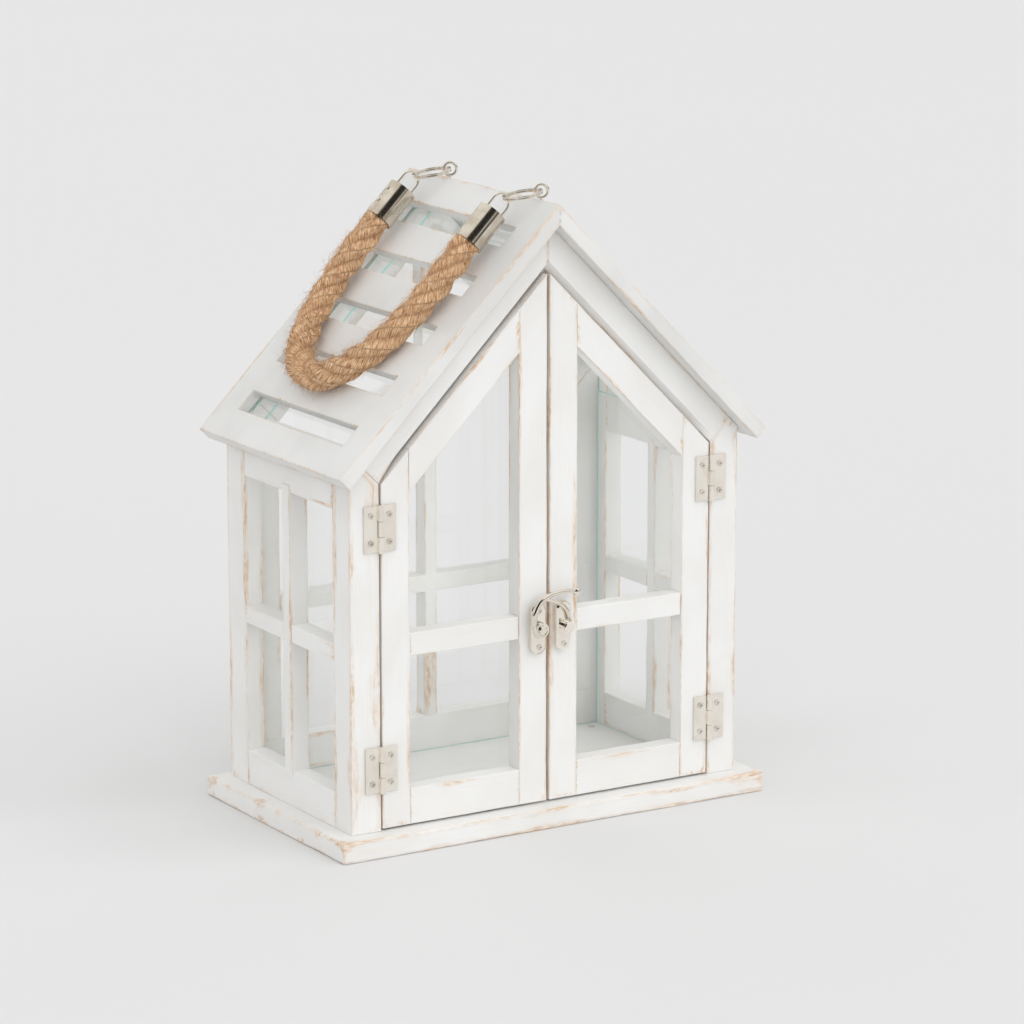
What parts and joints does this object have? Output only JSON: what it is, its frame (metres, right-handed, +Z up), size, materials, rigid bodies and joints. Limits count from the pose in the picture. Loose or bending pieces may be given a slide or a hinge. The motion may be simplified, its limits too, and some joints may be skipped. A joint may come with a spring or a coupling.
{
  "type": "candle lantern",
  "caption": "House-shaped candle lantern of painted wood and glass with a slotted pitched roof, hinged front doors, a hook latch and a folding rope handle.",
  "frame": {"origin": "centre of the overall footprint, on the underside of the base board", "axes": "+Z up, +Y from the doors towards the back, +X to the right of the doors as seen from the front"},
  "size_m": [0.3064, 0.1816, 0.3998],
  "materials": {
    "painted_wood": "white paint rubbed through to tan wood along the edges",
    "painted_roof_wood": "white paint over visible grain, rubbed through at the edges",
    "clear_glass": "clear with green cut edges",
    "nickel_hardware": "polished nickel plate",
    "steel_screws": "nickel-plated cross-recessed screws",
    "jute_rope": "twisted tan jute with loose fibres"
  },
  "bodies": {
    "root": {"base_board": "painted_wood", "floor_screws": "steel_screws", "left_front_post": "painted_wood", "left_front_rake": "painted_wood", "left_wall_back_stile": "painted_wood", "left_wall_bottom_rail": "painted_wood", "left_wall_top_rail": "painted_wood", "left_wall_muntin": "painted_wood", "left_wall_crossbar": "painted_wood", "left_wall_glass": "clear_glass", "left_back_stile": "painted_wood", "left_back_rake": "painted_wood", "left_roof_board": "painted_roof_wood", "left_roof_glass": "clear_glass", "right_front_post": "painted_wood", "right_front_rake": "painted_wood", "right_wall_back_stile": "painted_wood", "right_wall_bottom_rail": "painted_wood", "right_wall_top_rail": "painted_wood", "right_wall_muntin": "painted_wood", "right_wall_crossbar": "painted_wood", "right_wall_glass": "clear_glass", "right_back_stile": "painted_wood", "right_back_rake": "painted_wood", "right_roof_board": "painted_roof_wood", "right_roof_glass": "clear_glass", "back_bottom_rail": "painted_wood", "back_muntin": "painted_wood", "back_crossbar": "painted_wood", "back_glass": "clear_glass", "post_hinge_leaves": "nickel_hardware", "post_hinge_screws": "steel_screws", "hinge_pins": "nickel_hardware", "screw_eyes": "nickel_hardware"},
    "left_door": {"left_door_hinge_stile": "painted_wood", "left_door_meeting_stile": "painted_wood", "left_door_bottom_rail": "painted_wood", "left_door_crossbar": "painted_wood", "left_door_top_rail": "painted_wood", "left_door_glass": "clear_glass", "left_door_hinge_leaves": "nickel_hardware", "left_door_screws": "steel_screws", "latch_plate": "nickel_hardware", "latch_rivet": "nickel_hardware"},
    "right_door": {"right_door_hinge_stile": "painted_wood", "right_door_meeting_stile": "painted_wood", "right_door_bottom_rail": "painted_wood", "right_door_crossbar": "painted_wood", "right_door_top_rail": "painted_wood", "right_door_glass": "clear_glass", "right_door_hinge_leaves": "nickel_hardware", "right_door_screws": "steel_screws", "catch_plate": "nickel_hardware"},
    "hook": {"latch_hook": "nickel_hardware"},
    "rings": {"split_rings": "nickel_hardware"},
    "handle": {"ferrule_loops": "nickel_hardware", "ferrules": "nickel_hardware", "ferrule_rivets": "nickel_hardware", "handle_rope": "jute_rope"}
  },
  "joints": [
    {"name": "left_door_swing", "type": "hinge", "parent": "root", "child": "left_door", "pos_m": [-0.1194, -0.07935, 0.126], "axis": [0, 0, -1], "range_deg": [0, 120]},
    {"name": "right_door_swing", "type": "hinge", "parent": "root", "child": "right_door", "pos_m": [0.1194, -0.07935, 0.126], "axis": [0, 0, 1], "range_deg": [0, 120]},
    {"name": "hook_lift", "type": "hinge", "parent": "left_door", "child": "hook", "pos_m": [-0.009, -0.08395, 0.126], "axis": [0, -1, 0], "range_deg": [0, 90]},
    {"name": "ring_swing", "type": "hinge", "parent": "root", "child": "rings", "pos_m": [0.00288, -0.00976, 0.39476], "axis": [0, 1, 0], "range_deg": [0, 180]},
    {"name": "handle_swing", "type": "hinge", "parent": "rings", "child": "handle", "pos_m": [-0.01867, -0.00105, 0.39066], "axis": [0, 1, 0], "range_deg": [0, 90]}
  ]
}
